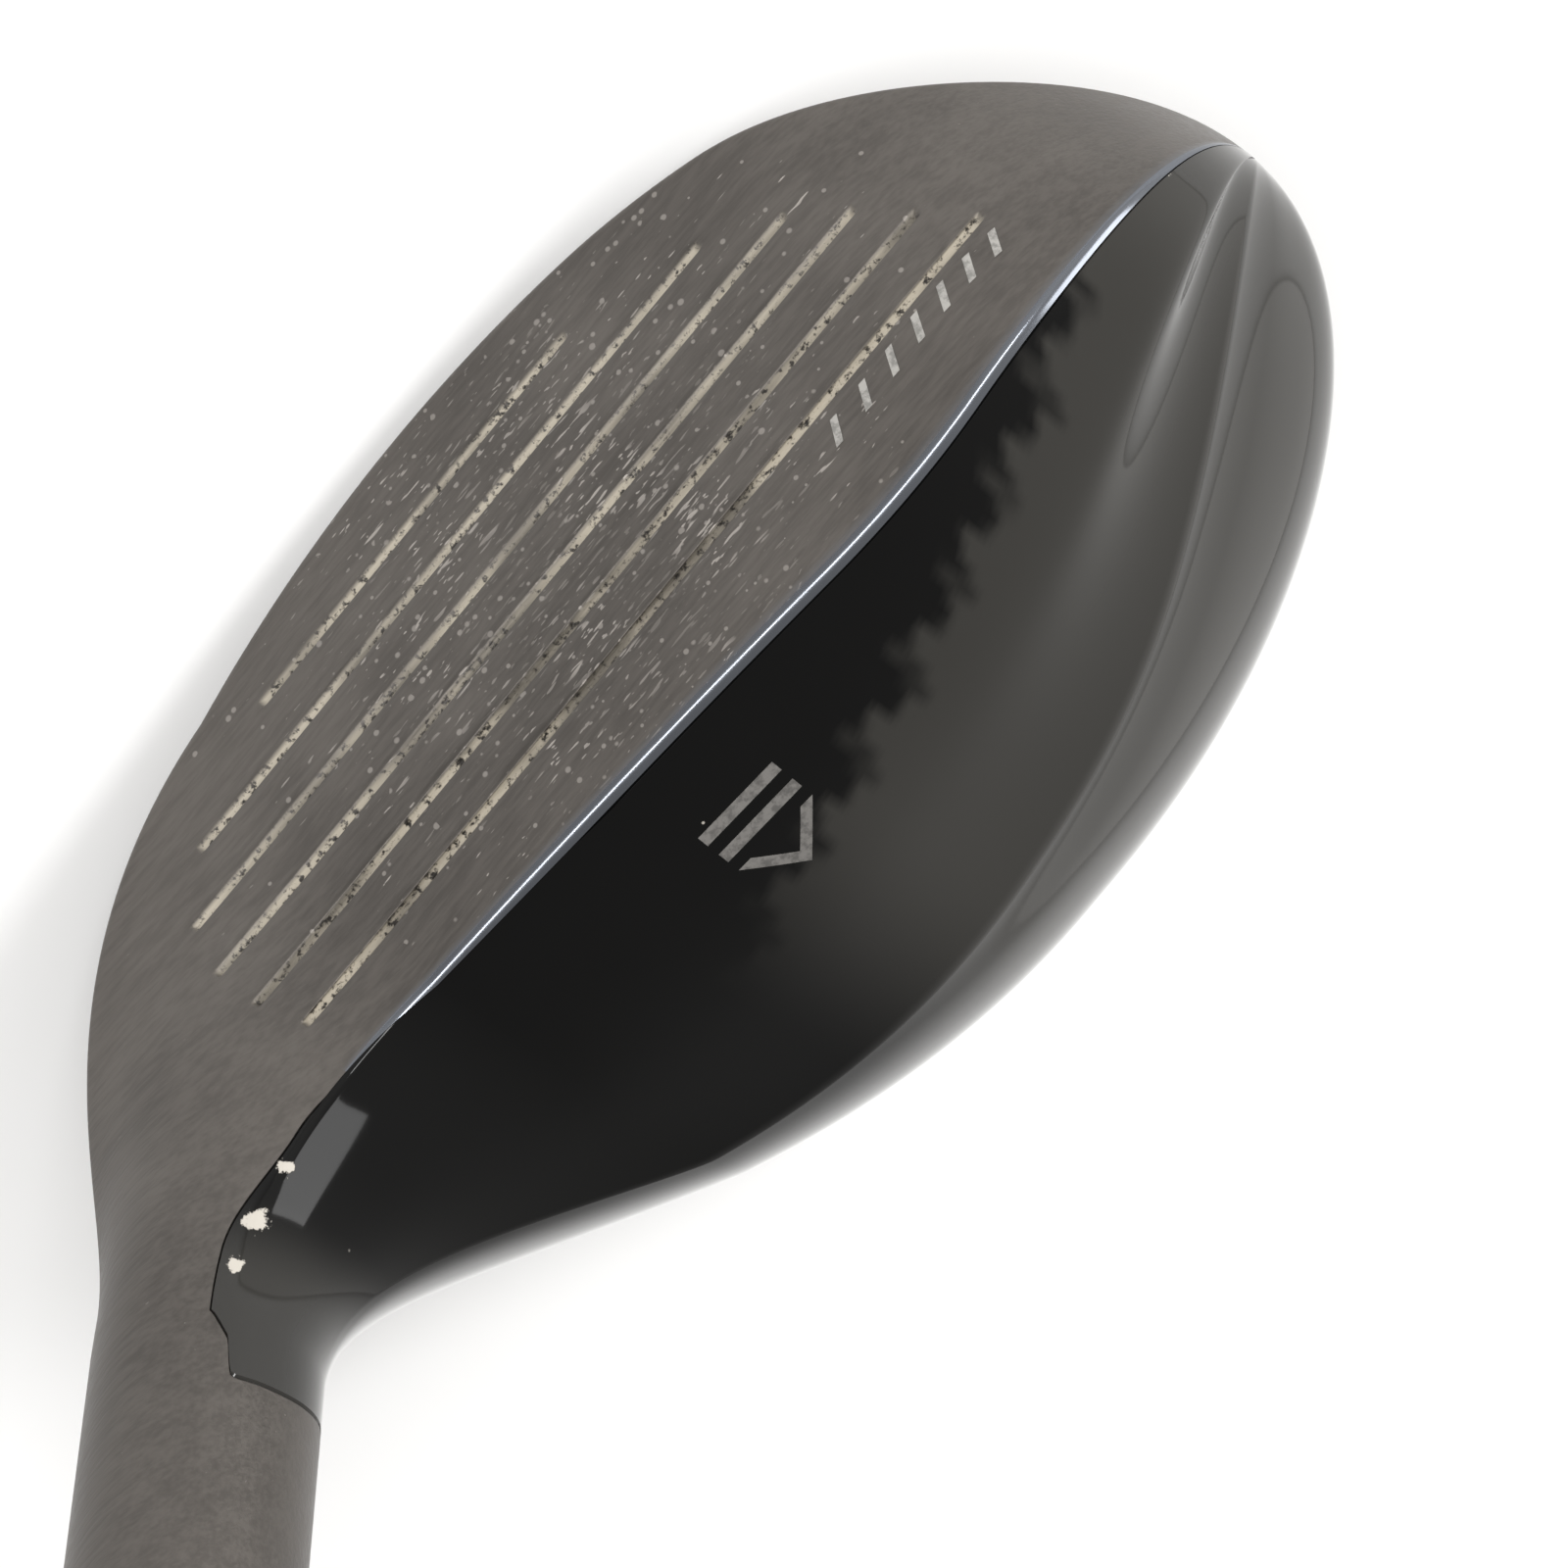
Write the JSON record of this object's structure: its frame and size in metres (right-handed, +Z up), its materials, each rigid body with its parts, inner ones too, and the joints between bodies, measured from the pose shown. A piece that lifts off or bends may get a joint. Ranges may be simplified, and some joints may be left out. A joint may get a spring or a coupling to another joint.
{
  "type": "hybrid golf club",
  "caption": "Right-handed hybrid golf club with a shell head, keyed bolt-on graphite shaft, screw-in rear weight and rubber grip.",
  "frame": {"origin": "the sole's low point, where the club touches the ground at address", "axes": "+Z up; -Y is the way the face looks; -X towards the toe, so the shaft leans towards +X"},
  "size_m": [0.5826, 0.0564, 0.8949],
  "materials": {
    "satin_steel": "dark warm grey, satin, fine nicks",
    "brushed_face": "dark warm grey, brushed, worn and scratched, pale score lines",
    "gloss_crown": "gloss black paint, small chips",
    "raw_steel": "as machined",
    "bright_steel": "bright machined",
    "weight_steel": "turned, dull",
    "nylon": "natural nylon",
    "black_anodised": "black anodised, satin",
    "adapter_aluminium": "turned",
    "brass_insert": "turned",
    "ferrule_plastic": "black, buffed",
    "graphite": "clear-coated carbon fibre",
    "tape_paper": "paper-backed tape",
    "grip_rubber": "black, textured",
    "cap_rubber": "black, smooth"
  },
  "bodies": {
    "head": {"head_body": "satin_steel", "face_cup": "brushed_face", "crown_shell": "gloss_crown", "weight_bar": "raw_steel", "hosel_tube": "raw_steel", "bolt_retainer": "nylon", "weight_seat": "raw_steel"},
    "bolt_carrier": {"bolt_washer": "bright_steel"},
    "bolt": {"hosel_bolt": "bright_steel"},
    "weight_carrier": {"weight_washer": "nylon"},
    "weight": {"sole_weight": "weight_steel"},
    "club_shaft": {"loft_ring": "black_anodised", "adapter_sleeve": "adapter_aluminium", "thread_insert": "brass_insert", "ferrule": "ferrule_plastic", "shaft": "graphite", "tip_plug": "brass_insert", "grip_tape": "tape_paper", "grip": "grip_rubber", "grip_cap": "cap_rubber"}
  },
  "joints": [
    {"name": "shaft_release", "type": "slide", "parent": "head", "child": "club_shaft", "axis": [0.4848, 0, 0.8746], "range_m": [0, 0.045]},
    {"name": "bolt_back_out", "type": "slide", "parent": "head", "child": "bolt_carrier", "axis": [-0.4848, 0, -0.8746], "range_m": [0, 0.0056]},
    {"name": "bolt_turn", "type": "hinge", "parent": "bolt_carrier", "child": "bolt", "pos_m": [0.03932, -0.00575, 0.02186], "axis": [-0.4848, 0, -0.8746], "range_deg": [0, 2520]},
    {"name": "weight_back_out", "type": "slide", "parent": "head", "child": "weight_carrier", "axis": [0, 0.4848, -0.8746], "range_m": [0, 0.005]},
    {"name": "weight_turn", "type": "hinge", "parent": "weight_carrier", "child": "weight", "pos_m": [0, 0.02514, 0.01048], "axis": [0, 0.4848, -0.8746], "range_deg": [0, 1440]}
  ],
  "couplings": [
    {"joint": "bolt_turn", "follows": "bolt_back_out", "rad_per_m": 7854},
    {"joint": "weight_turn", "follows": "weight_back_out", "rad_per_m": 5026.5}
  ]
}
